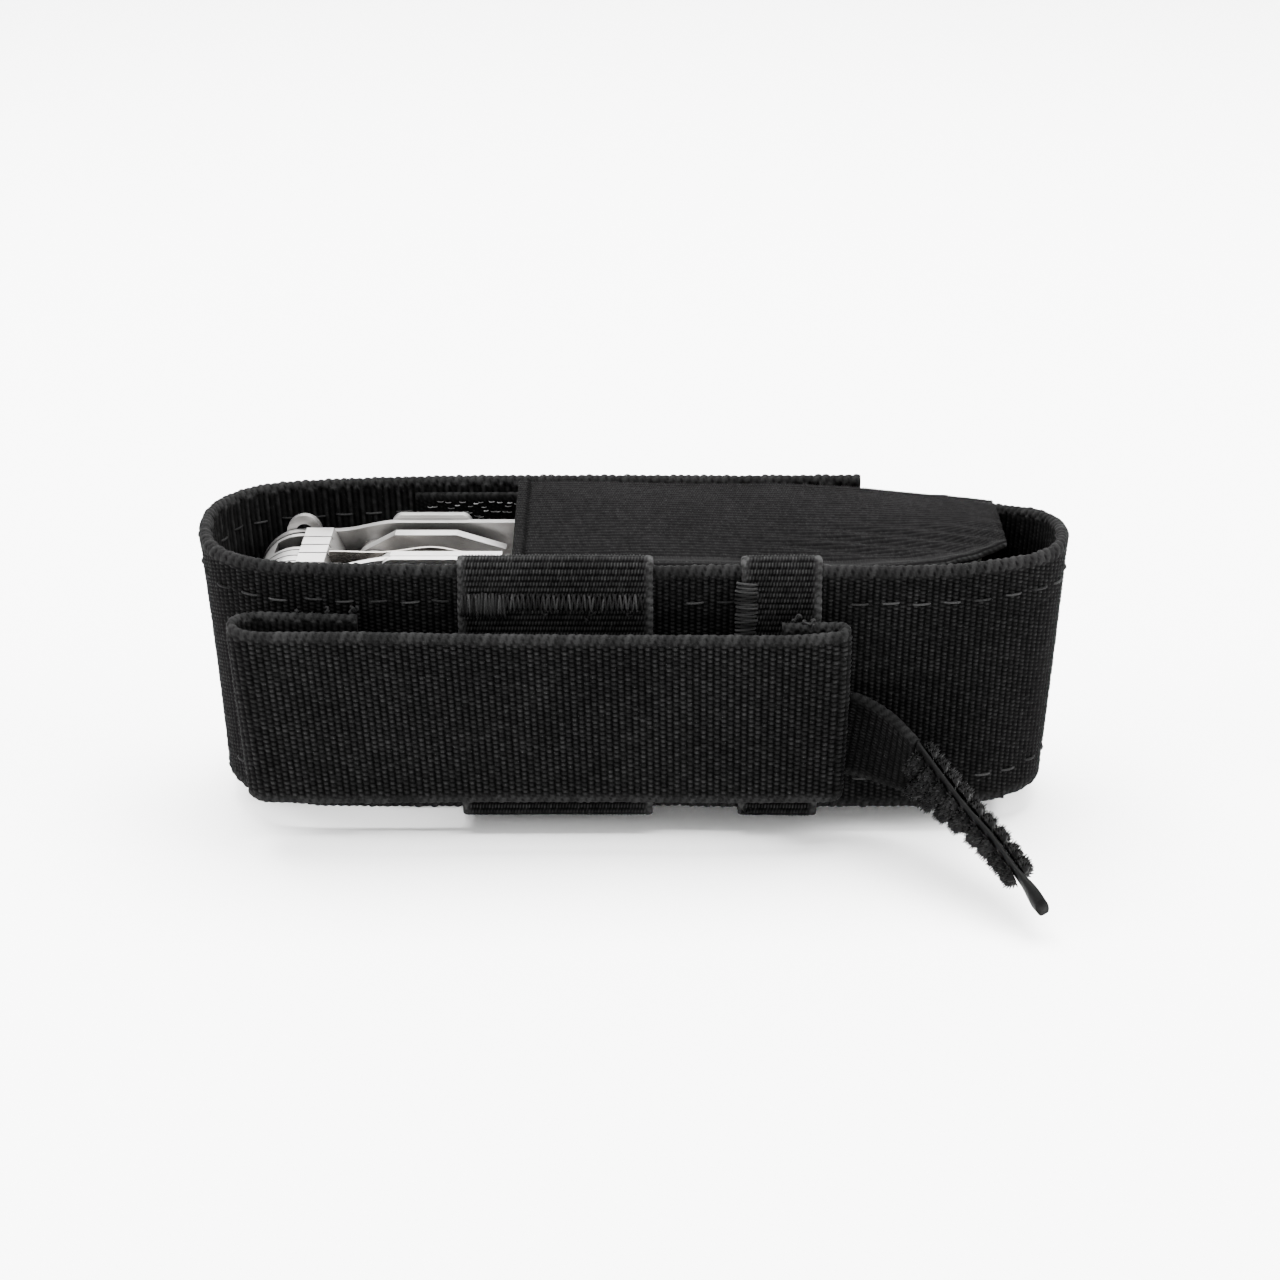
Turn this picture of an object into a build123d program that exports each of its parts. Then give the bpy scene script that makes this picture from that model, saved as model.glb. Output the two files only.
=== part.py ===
from build123d import *
import os
from math import cos, radians, sin

# A folding pliers multi tool in a webbing sheath that lies on its long edge.
# X runs along the sheath, with the closing flap's turn at -X. Y runs across it, from the belt
# loop's side (-Y) to the flap's side (+Y). Z is up. The origin is on the resting face.
# All sizes are in millimetres.

# Sheath: one strip of webbing, turned at both ends
webbing_width = 38.0
webbing_thickness = 1.8
webbing_bottom = 2.0
webbing_top = webbing_bottom + webbing_width
half_length = 62.5
near_face = -18.0
corner_radius = 9.0
flap_outer_face = 18.1
pocket_outer_face = 14.2
flap_split = 0.15                      # open gap where one flexing length meets the next
flap_end_x = 34.0
pocket_start_x = -17.0
near_inner_face = near_face + webbing_thickness
pocket_inner_face = pocket_outer_face - webbing_thickness
flap_inner_face = flap_outer_face - webbing_thickness

# Elastic gussets and wraps
gusset_thickness = 1.0
gusset_end_x = 54.6
wrap_thickness = 1.0
wide_wrap_x = (-24.5, 2.5)
narrow_wrap_x = (15.0, 26.0)

# Hook and loop tapes of the flap
tape_thickness = 1.0
tape_bottom = 8.0
tape_height = 30.0
loop_tape_x = (-15.0, 47.0)
hook_tape_x = (-33.0, 30.0)

# Belt loop
loop_width = 25.0
loop_bottom = 6.0
loop_thickness = 1.6
loop_left_x = -56.5
loop_right_x = 30.0
belt_gap = 4.8
loop_foot_length = 10.0
loop_inner_face = near_face - wrap_thickness - belt_gap

# Narrow strap and its moulded hook end
strap_width = 12.7
strap_thickness = 1.6
strap_root_x = 17.0
strap_exit_x = 30.2
strap_centre_z = 14.4
strap_face = near_face - wrap_thickness
hook_end_thickness = 5.0

# Tool: overall layout, closed
tool_right = 51.5
tool_middle_z = 19.8
handle_width = 16.0
handle_gap = 1.0
plate_thickness = 1.4
plate_inner_y = 7.2
plate_outer_y = plate_inner_y + plate_thickness
pivot_x = -49.0
pivot_z = tool_middle_z + handle_gap / 2 + handle_width / 2
plate_low_z = tool_middle_z + handle_gap / 2
plate_high_z = plate_low_z + handle_width
nose_radius = 6.6
pivot_pin_radius = 2.2
running_gap = 0.05
press_gap = 0.02
head_thickness = 0.6

# Pliers
rivet_x = -35.5
rivet_radius = 2.6
boss_radius = 8.2
jaw_half_thickness = 4.0
jaw_tip_x = 21.0
tang_radius = 6.4
tang_half_thickness = 6.9

# Implements
far_pin_x = 45.5
far_pin_z = tool_middle_z + 11.2
far_pin_radius = 2.0
short_pin_x = -38.0
short_pin_z = tool_middle_z + 11.2
short_pin_radius = 1.6
eye_radius = 4.0
short_eye_radius = 3.0

# Release bars
bar_x = (-36.0, -24.0)
bar_depth = 6.0
bar_rise = 0.6
bar_travel = 2.4
tongue_length = 3.0
tongue_height = 2.2

os.makedirs("parts", exist_ok=True)


def save(name, *solids):
    """Write one sub-part, made of one or more solids, to its own STEP file."""
    shape = solids[0] if len(solids) == 1 else Compound(children=list(solids))
    export_step(shape, f"parts/{name}.step")


def box_between(x, y, z):
    """A box from three pairs of limits."""
    middle = ((x[0] + x[1]) / 2, (y[0] + y[1]) / 2, (z[0] + z[1]) / 2)
    return Pos(*middle) * Box(x[1] - x[0], y[1] - y[0], z[1] - z[0])


def slab(face, y_low, y_high):
    """A flat outline, drawn in X and Z, as a slab between two Y values."""
    return Pos(0, y_high, 0) * extrude(Plane.XZ * face, y_high - y_low)


def disc(x, z, radius, y_low, y_high):
    """A round slab whose axis runs along Y."""
    return slab(Pos(x, z) * Circle(radius), y_low, y_high)


def outline(points, corner=0.0):
    """A closed outline from corner points, with every corner rounded alike."""
    face = make_face(Polyline(*points, close=True))
    return fillet(face.vertices(), corner) if corner else face


def lower_copy(solid):
    """The lower handle's copy of a piece of the upper handle."""
    return mirror(solid, about=Plane.XY.offset(tool_middle_z))


def standing(face, bottom, height):
    """A flat outline, drawn in X and Y, raised to a height."""
    return Pos(0, 0, bottom) * extrude(face, height)


def bent_end(x_tip, y_low, y_high, radius, thickness, x_inner):
    """The outline of a strip that turns at one end, open towards x_inner."""
    side = 1 if x_tip > x_inner else -1
    width = abs(x_tip - x_inner)
    middle = ((x_tip + x_inner) / 2, (y_low + y_high) / 2)
    outer = Pos(*middle) * Rectangle(width, y_high - y_low)
    outer = fillet(outer.vertices().filter_by(lambda v: abs(v.X - x_tip) < 0.01), radius)
    inner = Pos(middle[0] - side * thickness, middle[1]) * Rectangle(
        width, y_high - y_low - 2 * thickness
    )
    corners = inner.vertices().filter_by(lambda v: abs(v.X - x_tip + side * thickness) < 0.01)
    inner = fillet(corners, radius - thickness)
    return outer - inner


# ---------------------------------------------------------------- sheath webbing and flap

left_corner_x = -half_length + corner_radius
right_corner_x = half_length - corner_radius

right_turn = bent_end(
    half_length, near_face, pocket_outer_face, corner_radius, webbing_thickness, right_corner_x
)
near_panel = Pos(0, (near_face + near_inner_face) / 2) * Rectangle(
    2 * right_corner_x, webbing_thickness
)
far_panel = Pos(
    (pocket_start_x + right_corner_x) / 2, (pocket_inner_face + pocket_outer_face) / 2
) * Rectangle(right_corner_x - pocket_start_x, webbing_thickness)

# The left turn flexes in the middle of each of its two corners, so it is parted there.
left_turn = bent_end(
    -half_length, near_face, flap_outer_face, corner_radius, webbing_thickness, left_corner_x
)


def beyond_fold(centre_y, turn, side, seam):
    """The side of a corner's middle line that faces away from the flap's turn."""
    half_plane = Pos(0, side * (50 + seam)) * Rectangle(200, 100)
    return Pos(left_corner_x, centre_y) * Rot(0, 0, turn) * half_plane


near_fold = (near_face + corner_radius, 45, -1)
far_fold = (flap_outer_face - corner_radius, -45, 1)
near_half_corner = left_turn & beyond_fold(*near_fold, flap_split)
far_half_corner = left_turn & beyond_fold(*far_fold, flap_split)
flap_run = Pos(
    (left_corner_x + flap_end_x) / 2, (flap_inner_face + flap_outer_face) / 2
) * Rectangle(flap_end_x - left_corner_x, webbing_thickness)
save(
    "sheath_webbing",
    standing(
        near_panel + far_panel + right_turn + near_half_corner, webbing_bottom, webbing_width
    ),
)
save(
    "flap_turn_webbing",
    standing(
        left_turn - beyond_fold(*near_fold, 0) - beyond_fold(*far_fold, 0),
        webbing_bottom, webbing_width,
    ),
)
save("flap_webbing", standing(far_half_corner + flap_run, webbing_bottom, webbing_width))

save(
    "flap_hook_tape",
    box_between(
        hook_tape_x,
        (flap_inner_face - tape_thickness, flap_inner_face),
        (tape_bottom, tape_bottom + tape_height),
    ),
)
save(
    "loop_tape",
    box_between(
        loop_tape_x,
        (pocket_outer_face, pocket_outer_face + tape_thickness),
        (tape_bottom, tape_bottom + tape_height),
    ),
)

# ---------------------------------------------------------------- gussets and wraps

gusset_x = (pocket_start_x, gusset_end_x - 1.2)
gusset_y = (near_inner_face, pocket_inner_face)
top_gusset_z = plate_high_z + bar_rise + 0.4
bottom_gusset_z = webbing_bottom + 0.2
save(
    "gusset_top",
    box_between(
        gusset_x,
        (near_inner_face + wrap_thickness, pocket_inner_face),
        (top_gusset_z, top_gusset_z + gusset_thickness),
    ),
)
save(
    "gusset_bottom",
    box_between(gusset_x, gusset_y, (bottom_gusset_z, bottom_gusset_z + gusset_thickness)),
)


def wrap(x_limits):
    """Elastic that covers the near panel, folds over its rim and passes under the sheath."""
    outer = near_face - wrap_thickness
    top = webbing_top + wrap_thickness
    far_fold = pocket_outer_face + wrap_thickness
    pieces = [
        box_between(x_limits, (outer, near_face), (0, top)),
        box_between(x_limits, (near_face, near_inner_face + wrap_thickness), (webbing_top, top)),
        box_between(
            x_limits,
            (near_inner_face, near_inner_face + wrap_thickness),
            (top_gusset_z + gusset_thickness, webbing_top),
        ),
        box_between(x_limits, (near_face, far_fold), (0, webbing_bottom)),
        box_between(
            (max(x_limits[0], pocket_start_x), x_limits[1]),
            (pocket_outer_face, far_fold),
            (webbing_bottom, tape_bottom - 0.5),
        ),
    ]
    return Solid() + pieces


save("wide_wrap", wrap(wide_wrap_x))
save("narrow_wrap", wrap(narrow_wrap_x))

# ---------------------------------------------------------------- belt loop

loop_outer_face = loop_inner_face - loop_thickness
left_foot_outer = near_face
right_foot_outer = near_face - wrap_thickness - strap_thickness


def loop_end(x_tip, foot_face, x_inner):
    """One folded end of the belt loop, with the foot that is sewn down."""
    depth = foot_face - loop_outer_face
    return bent_end(
        x_tip, loop_outer_face, foot_face, depth / 2 - 0.01, loop_thickness, x_inner
    )


left_end = loop_end(loop_left_x, left_foot_outer, loop_left_x + loop_foot_length)
right_end = loop_end(loop_right_x, right_foot_outer, loop_right_x - loop_foot_length)
front_run = Pos(
    (loop_left_x + loop_right_x) / 2, loop_outer_face + loop_thickness / 2
) * Rectangle(loop_right_x - loop_left_x - 2 * loop_foot_length + 0.02, loop_thickness)
save("belt_loop", standing(left_end + front_run + right_end, loop_bottom, loop_width))

# ---------------------------------------------------------------- narrow strap

save(
    "strap_root",
    box_between(
        (strap_root_x, strap_exit_x - flap_split),
        (strap_face - strap_thickness, strap_face),
        (strap_centre_z - strap_width / 2, strap_centre_z + strap_width / 2),
    ),
)


def strap_section(centre, along, lean, width, thickness):
    """A cross-section of the strap: its width leans from vertical, square to its run."""
    run = Vector(*along).normalized()
    rise = Vector(*lean)
    rise = (rise - run * rise.dot(run)).normalized()
    side = run.cross(rise)
    return Plane(origin=centre, x_dir=side, z_dir=run) * Rectangle(thickness, width)


exit_section = strap_section(
    (strap_exit_x, strap_face - strap_thickness / 2, strap_centre_z),
    (1, -0.12, 0), (0, 0, 1), strap_width, strap_thickness,
)
bend_section = strap_section(
    (35.0, -21.9, 13.2), (0.85, -0.5, -0.2), (-0.1, -0.15, 1), strap_width, strap_thickness
)
joint_run = ((39.3, -25.4, 11.6), (0.62, -0.75, -0.4), (-0.2, -0.3, 1), strap_width)
save(
    "strap_tail",
    loft([exit_section, bend_section], ruled=True)
    + loft([bend_section, strap_section(*joint_run, strap_thickness)], ruled=True),
)

hook_middle = strap_section(
    (46.4, -34.6, 7.2), (0.45, -0.8, -0.38), (-0.42, -0.4, 0.84), strap_width, hook_end_thickness
)
hook_taper = strap_section(
    (50.6, -43.8, 4.2), (0.36, -0.88, -0.3), (-0.42, -0.36, 0.84), 6.0, hook_end_thickness
)
hook_tip = strap_section(
    (52.6, -50.6, 2.6), (0.3, -0.93, -0.2), (-0.42, -0.36, 0.84), 3.0, strap_thickness
)
save(
    "moulded_hook_end",
    loft([strap_section(*joint_run, hook_end_thickness), hook_middle], ruled=True)
    + loft([hook_middle, hook_taper], ruled=True)
    + loft([hook_taper, hook_tip], ruled=True),
)

# ---------------------------------------------------------------- pliers


def jaw_half(y_low, y_high, sign):
    """One half of the pliers: nose, boss at the rivet, arm and tang. sign picks the nose's side.

    The tang lies on the other side of the middle plane from the nose.
    """

    def at(x, height):
        return (x, tool_middle_z + sign * height)

    nose_start = rivet_x + 0.9 * boss_radius
    nose = outline(
        [
            at(nose_start - 3, 0.1), at(nose_start - 3, 7.0), at(nose_start + 6, 6.6),
            at(nose_start + 24, 5.2), at(jaw_tip_x - 6, 3.0), at(jaw_tip_x, 1.6),
            at(jaw_tip_x, 0.1),
        ]
    )
    grip_hole = Pos(*at(nose_start + 20, 0)) * Ellipse(7.0, 2.0)
    cutter = outline([at(nose_start + 4, 0), at(nose_start + 11, 0), at(nose_start + 7.5, 0.9)])
    nose_slab = slab(nose - grip_hole - cutter, -jaw_half_thickness + 0.6, jaw_half_thickness - 0.6)
    for tooth in range(7):
        groove = Pos(*at(jaw_tip_x - 3 - 1.3 * tooth, 0)) * Circle(0.35)
        nose_slab -= slab(groove, -jaw_half_thickness, jaw_half_thickness)
    other_boss = disc(rivet_x, tool_middle_z, boss_radius + 0.15, -y_high, -y_low)
    boss = disc(rivet_x, tool_middle_z, boss_radius, y_low, y_high)
    tang_z = tool_middle_z - sign * (pivot_z - tool_middle_z)
    run = Vector(pivot_x - rivet_x, tang_z - tool_middle_z)
    square = Vector(-run.Y, run.X).normalized() * 3.6
    near, far = Vector(rivet_x, tool_middle_z), Vector(pivot_x, tang_z)
    arm_points = [near + square, far + square, far - square, near - square]
    arm = slab(outline([(p.X, p.Y) for p in arm_points]), y_low, y_high)
    tang = disc(pivot_x, tang_z, tang_radius, -tang_half_thickness, tang_half_thickness)
    for groove_y in (-4.6, -2.3, 0.0):
        ring = disc(pivot_x, tang_z, tang_radius + 1, groove_y - 0.2, groove_y + 0.2)
        ring -= disc(pivot_x, tang_z, tang_radius - 0.5, groove_y - 1, groove_y + 1)
        tang -= ring
    recess_z = (tang_z - sign * 2.6, tang_z - sign * 9.0)
    tang -= box_between((pivot_x - 3.6, pivot_x + 9), (1.2, 5.8), sorted(recess_z))
    half = boss + arm + tang + (nose_slab - other_boss)
    half -= disc(pivot_x, tang_z, pivot_pin_radius + running_gap, -20, 20)
    rivet_gap = press_gap if sign > 0 else running_gap
    return half - disc(rivet_x, tool_middle_z, rivet_radius + rivet_gap, -20, 20)


save("jaw_a", jaw_half(-jaw_half_thickness, -0.05, 1))
save("jaw_b", jaw_half(0.05, jaw_half_thickness, -1))
save(
    "jaw_rivet",
    disc(rivet_x, tool_middle_z, rivet_radius, -jaw_half_thickness, jaw_half_thickness)
    + disc(rivet_x, tool_middle_z, 4.0, -jaw_half_thickness - 0.8, -jaw_half_thickness)
    + disc(
        rivet_x, tool_middle_z, 4.0, jaw_half_thickness + 0.1, jaw_half_thickness + 0.8
    )
    + disc(rivet_x, tool_middle_z, rivet_radius, jaw_half_thickness, jaw_half_thickness + 0.1),
)

# ---------------------------------------------------------------- handles


def handle_plate(y_low, y_high):
    """One side plate: round nose, a low shoulder that rises in an S, straight run, round end."""
    shoulder_x, rise_x = -44.5, -34.5
    low_top = pivot_z + nose_radius
    swell = Spline(
        (shoulder_x, low_top), (rise_x, plate_high_z), tangents=((1, 0), (1, 0))
    )
    top_run = Line((rise_x, plate_high_z), (tool_right - 5, plate_high_z))
    end_top = RadiusArc((tool_right - 5, plate_high_z), (tool_right, plate_high_z - 5), 5)
    end_side = Line((tool_right, plate_high_z - 5), (tool_right, plate_low_z + 3))
    end_low = RadiusArc((tool_right, plate_low_z + 3), (tool_right - 3, plate_low_z), 3)
    low_run = Line((tool_right - 3, plate_low_z), (pivot_x, plate_low_z))
    nose_low = Line((pivot_x, plate_low_z), (pivot_x, pivot_z - nose_radius))
    nose = ThreePointArc(
        (pivot_x, pivot_z - nose_radius), (pivot_x - nose_radius, pivot_z), (pivot_x, low_top)
    )
    shoulder = Line((pivot_x, low_top), (shoulder_x, low_top))
    face = make_face(
        [swell, top_run, end_top, end_side, end_low, low_run, nose_low, nose, shoulder]
    )
    face -= Pos(pivot_x, pivot_z) * Circle(pivot_pin_radius + press_gap)
    face -= Pos(far_pin_x, far_pin_z) * Circle(far_pin_radius + press_gap)
    face -= Pos(short_pin_x, short_pin_z) * Circle(short_pin_radius + press_gap)
    face -= Pos(spacer_rivet_x, spacer_rivet_z) * Circle(spacer_rivet_radius + press_gap)
    slot_x = bar_middle_x + bar_travel / 2
    slot_length = tongue_length + bar_travel + 0.4
    face -= Pos(slot_x, bar_tongue_z) * Rectangle(slot_length, tongue_height + 0.2)
    return slab(face, y_low, y_high)


def headed_pin(x, z, radius, y_low, y_high):
    """A plain pin with a thin head on each plate's outer face."""
    head = radius + 0.9
    return (
        disc(x, z, radius, y_low, y_high)
        + disc(x, z, head, y_low - head_thickness, y_low)
        + disc(x, z, head, y_high, y_high + head_thickness)
    )


bar_middle_x = (bar_x[0] + bar_x[1]) / 2
bar_tongue_z = plate_high_z - 4.0
spacer_rivet_x = 42.0
spacer_rivet_z = plate_low_z + 3.6
spacer_rivet_radius = 1.2
eyelet_gap = 0.2
eyelet_thickness = 1.2
eyelet_reach = 5.9

far_plate = handle_plate(plate_inner_y, plate_outer_y)
near_plate = handle_plate(-plate_outer_y, -plate_inner_y)

nose_spacer = outline(
    [
        (pivot_x + 0.6, plate_high_z - 0.8), (pivot_x + 4.6, plate_high_z - 0.8),
        (pivot_x + 6.2, short_pin_z + 1.2), (pivot_x, short_pin_z - 2),
    ]
)
nose_spacer -= Pos(pivot_x, pivot_z) * Circle(tang_radius + 0.3)
nose_spacer -= Pos(short_pin_x, short_pin_z) * Circle(eye_radius + 0.6)
nose_spacer = slab(nose_spacer, -plate_inner_y, plate_inner_y)
for groove_y in (-3.4, 0.0, 3.4):
    nose_spacer -= box_between(
        (pivot_x - 2, pivot_x + 9), (groove_y - 0.2, groove_y + 0.2),
        (plate_high_z - 1.4, plate_high_z),
    )

end_spacer = outline(
    [
        (36.0, plate_low_z + 1.0), (tool_right - 1.5, plate_low_z + 1.0),
        (tool_right - 1.5, plate_low_z + 5.6), (36.0, plate_low_z + 5.6),
    ],
    0.8,
)
end_spacer -= Pos(spacer_rivet_x, spacer_rivet_z) * Circle(spacer_rivet_radius + press_gap)
end_spacer = slab(end_spacer, -plate_inner_y, plate_inner_y)

spring_left = pivot_x + 5.0


def spring_face(half_thickness):
    """The leaf spring seen from above: straight foot, one hump and a free end."""
    centre = [(spring_left, -3.3), (-34.5, -3.3), (-29.5, -1.6), (-25.0, -3.5)]
    ends = ((1, 0), (1, -0.6))
    sides = [
        [(x, y + shift) for x, y in centre] for shift in (half_thickness, -half_thickness)
    ]
    upper, lower = [Spline(*side, tangents=ends) for side in sides]
    closing = [Line(sides[0][end], sides[1][end]) for end in (0, -1)]
    return make_face([upper, lower, *closing])


leaf_spring = standing(spring_face(0.25), short_pin_z + short_pin_radius + 1.4, 1.7)
# the spring's foot is let into the nose spacer, which has a slit for it
nose_spacer -= standing(spring_face(0.27), short_pin_z, 8)

pivot_pin = headed_pin(pivot_x, pivot_z, pivot_pin_radius, -plate_outer_y, plate_outer_y)
eyelet_low = plate_outer_y + eyelet_gap
eyelet_high = eyelet_low + eyelet_thickness
long_pivot_pin = (
    headed_pin(pivot_x, pivot_z, pivot_pin_radius, -plate_outer_y, plate_outer_y)
    - disc(pivot_x, pivot_z, 9, plate_outer_y, 20)
    + disc(pivot_x, pivot_z, pivot_pin_radius - 0.6, plate_outer_y - 1, eyelet_high + 0.1)
    + disc(pivot_x, pivot_z, 2.6, eyelet_high + 0.1, eyelet_high + 0.1 + head_thickness)
)
far_pin = headed_pin(far_pin_x, far_pin_z, far_pin_radius, -plate_outer_y, plate_outer_y)
short_pin = disc(short_pin_x, short_pin_z, short_pin_radius, -plate_outer_y, plate_outer_y)
spacer_rivet = headed_pin(
    spacer_rivet_x, spacer_rivet_z, spacer_rivet_radius, -plate_outer_y, plate_outer_y
)

eyelet = Pos(pivot_x, pivot_z) * Circle(3.4) + Pos(pivot_x, pivot_z + eyelet_reach) * Circle(2.6)
eyelet += outline(
    [
        (pivot_x - 3.2, pivot_z + 1), (pivot_x - 2.5, pivot_z + eyelet_reach),
        (pivot_x + 2.5, pivot_z + eyelet_reach), (pivot_x + 3.2, pivot_z + 1),
    ]
)
eyelet -= Pos(pivot_x, pivot_z) * Circle(pivot_pin_radius - 0.6 + running_gap)
eyelet -= Pos(pivot_x, pivot_z + eyelet_reach) * Circle(1.3)
save("lanyard_eye", slab(eyelet, eyelet_low, eyelet_high))


def release_bar(sign):
    """A raised bar outside a plate, with a tongue through the plate's slot."""
    y_limits = sorted((sign * (plate_outer_y + 0.1), sign * (plate_outer_y + 1.5)))
    bar = Pos(bar_middle_x, plate_high_z + bar_rise - bar_depth / 2) * Rectangle(
        bar_x[1] - bar_x[0], bar_depth
    )
    bar = fillet(bar.vertices(), 1.6)
    tongue = Pos(bar_middle_x, bar_tongue_z) * Rectangle(tongue_length, tongue_height)
    tongue_y = sorted((sign * (plate_inner_y + 0.1), sign * (plate_outer_y + 0.5)))
    return slab(bar, *y_limits) + slab(tongue, *tongue_y)


washer_gap = 0.1


def washers(x, z, pin_radius, bands):
    """Spacing washers on a pin, one solid for each band between implements."""
    ring = Pos(x, z) * (Circle(pin_radius + 1.2) - Circle(pin_radius + press_gap))
    return [slab(ring, low + washer_gap, high - washer_gap) for low, high in bands]


def bands_between(implement_bands):
    """The free Y bands between neighbouring implements and the plates."""
    edges = [-plate_inner_y - washer_gap]
    for low, high in sorted(implement_bands):
        edges += [low, high]
    edges.append(plate_inner_y + washer_gap)
    return [(edges[i], edges[i + 1]) for i in range(0, len(edges), 2)]


lower_blades = {
    "knife_blade": (4.3, 6.5),
    "serrated_blade": (0.7, 2.9),
    "wood_saw": (-2.9, -0.7),
    "flat_file": (-6.5, -4.3),
}
upper_far_implements = {"can_opener": (3.6, 5.8), "large_driver": (-1.4, 1.4)}
upper_short_implements = {"pointed_driver": (2.6, 4.8), "slant_driver": (-6.1, -4.2)}

save("handle_b_far_plate", far_plate)
save("handle_b_near_plate", near_plate)
save("handle_b_nose_spacer", nose_spacer)
save("handle_b_end_spacer", end_spacer)
save("handle_b_leaf_spring", leaf_spring)
save("handle_b_pivot_pin", long_pivot_pin)
save("handle_b_tool_pins", far_pin, short_pin)
save("handle_b_spacer_rivet", spacer_rivet)
save(
    "handle_b_washers",
    *washers(far_pin_x, far_pin_z, far_pin_radius, bands_between(upper_far_implements.values())),
    *washers(
        short_pin_x, short_pin_z, short_pin_radius,
        bands_between(upper_short_implements.values()),
    ),
)
save("handle_a_far_plate", lower_copy(far_plate))
save("handle_a_near_plate", lower_copy(near_plate))
save("handle_a_nose_spacer", lower_copy(nose_spacer))
save("handle_a_end_spacer", lower_copy(end_spacer))
save("handle_a_leaf_spring", lower_copy(leaf_spring))
save("handle_a_pivot_pin", lower_copy(pivot_pin))
save("handle_a_tool_pins", lower_copy(far_pin), lower_copy(short_pin))
save("handle_a_spacer_rivet", lower_copy(spacer_rivet))
lower_washers = washers(
    far_pin_x, far_pin_z, far_pin_radius, bands_between(lower_blades.values())
)
save("handle_a_washers", *[lower_copy(washer) for washer in lower_washers])

save("release_bar_b_far", release_bar(1))
save("release_bar_b_near", release_bar(-1))
save("release_bar_a_far", lower_copy(release_bar(1)))
save("release_bar_a_near", lower_copy(release_bar(-1)))

# ---------------------------------------------------------------- implements


def implement(x, z, pin_radius, eye, points, band):
    """An implement that turns on a pin; points are measured from the pin's centre."""
    face = make_face(Polyline(*[(x + dx, z + dz) for dx, dz in points], close=True))
    face += Pos(x, z) * Circle(eye)
    face -= Pos(x, z) * Circle(pin_radius + running_gap)
    return slab(face, *band)


def knife_points(length):
    """A drop point: straight spine that falls to the tip, and a curved edge."""
    edge = [
        (-length + 34 * (1 - cos(radians(turn))), -3.6 * sin(radians(turn)))
        for turn in range(0, 91, 15)
    ]
    spine = [(-6, 3.7), (-length + 24, 3.7), (-length + 9, 2.4)]
    return spine + edge + [(-12, -3.6), (-9, -2.4), (0, -3.4), (0, 3.7)]


def toothed_points(length, pitch, depth):
    """A parallel blade whose lower edge has a row of teeth."""
    teeth = []
    count = int((length - 16) / pitch)
    for tooth in range(count):
        start = -length + 3 + tooth * pitch
        teeth += [(start, -3.0 + depth), (start + pitch / 2, -3.0)]
    return [(0, 3.6), (-length + 5, 3.6), (-length, 1.2), *teeth, (-10, -3.0), (0, -3.4)]


def driver_points(length, shank, tip):
    """A driver: wide root, straight shank and a tip of its own width."""
    return [
        (0, 3.6), (-6, 3.6), (-10, shank), (-length + 6, shank), (-length, tip),
        (-length, -tip), (-length + 6, -shank), (-10, -shank), (-6, -3.4), (0, -3.6),
    ]


can_opener_points = [
    (0, 3.6), (-26, 3.6), (-33, 1.0), (-36, 1.6), (-36, -0.6), (-31, -3.4),
    (-28.5, -0.8), (-26, -3.0), (-8, -3.0), (0, -3.4),
]
shapes = {
    "knife_blade": knife_points(72),
    "serrated_blade": toothed_points(70, 3.2, 1.0),
    "wood_saw": toothed_points(72, 2.0, 1.1),
    "flat_file": [(0, 3.6), (-68, 3.2), (-68, -2.6), (0, -3.4)],
    "can_opener": can_opener_points,
    "large_driver": driver_points(46, 2.6, 2.2),
}
for name, band in lower_blades.items():
    blade = implement(far_pin_x, far_pin_z, far_pin_radius, eye_radius, shapes[name], band)
    save(name, lower_copy(blade))
for name, band in upper_far_implements.items():
    save(name, implement(far_pin_x, far_pin_z, far_pin_radius, eye_radius, shapes[name], band))

short_top = plate_high_z - 0.3 - short_pin_z
pointed_outline = [
    (-1.5, 2.6), (3.0, short_top), (12.0, short_top), (19.2, short_top - 2.2),
    (12.0, -1.0), (2.0, -2.4), (-1.5, -2.4),
]
slant_outline = [
    (-1.5, 2.6), (3.0, short_top), (19.0, short_top), (16.5, -2.0), (2.0, -2.4), (-1.5, -2.4)
]
save(
    "pointed_driver",
    implement(
        short_pin_x, short_pin_z, short_pin_radius, short_eye_radius, pointed_outline,
        upper_short_implements["pointed_driver"],
    ),
)
save(
    "slant_driver",
    implement(
        short_pin_x, short_pin_z, short_pin_radius, short_eye_radius, slant_outline,
        upper_short_implements["slant_driver"],
    ),
)
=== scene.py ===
import math

import bpy
import numpy as np
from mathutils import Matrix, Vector


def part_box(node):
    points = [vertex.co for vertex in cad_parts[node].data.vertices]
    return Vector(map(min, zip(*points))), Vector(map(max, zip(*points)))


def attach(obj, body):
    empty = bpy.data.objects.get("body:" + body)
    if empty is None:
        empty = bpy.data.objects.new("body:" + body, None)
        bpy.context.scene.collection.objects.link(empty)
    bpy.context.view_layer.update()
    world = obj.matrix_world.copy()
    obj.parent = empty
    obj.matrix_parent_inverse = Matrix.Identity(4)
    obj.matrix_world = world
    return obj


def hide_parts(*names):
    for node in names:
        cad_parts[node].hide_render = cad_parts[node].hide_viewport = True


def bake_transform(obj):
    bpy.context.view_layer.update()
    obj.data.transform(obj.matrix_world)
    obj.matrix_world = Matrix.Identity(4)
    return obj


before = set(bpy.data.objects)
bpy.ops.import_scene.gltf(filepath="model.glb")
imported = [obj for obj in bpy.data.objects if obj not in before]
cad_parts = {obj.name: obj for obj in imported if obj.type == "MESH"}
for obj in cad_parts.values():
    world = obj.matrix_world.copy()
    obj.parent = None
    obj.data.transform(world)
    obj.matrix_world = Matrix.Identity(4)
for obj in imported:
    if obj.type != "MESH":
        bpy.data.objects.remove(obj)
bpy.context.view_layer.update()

# Lengths in this script are in millimetres; MM turns them into metres.
MM = 0.001


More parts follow.
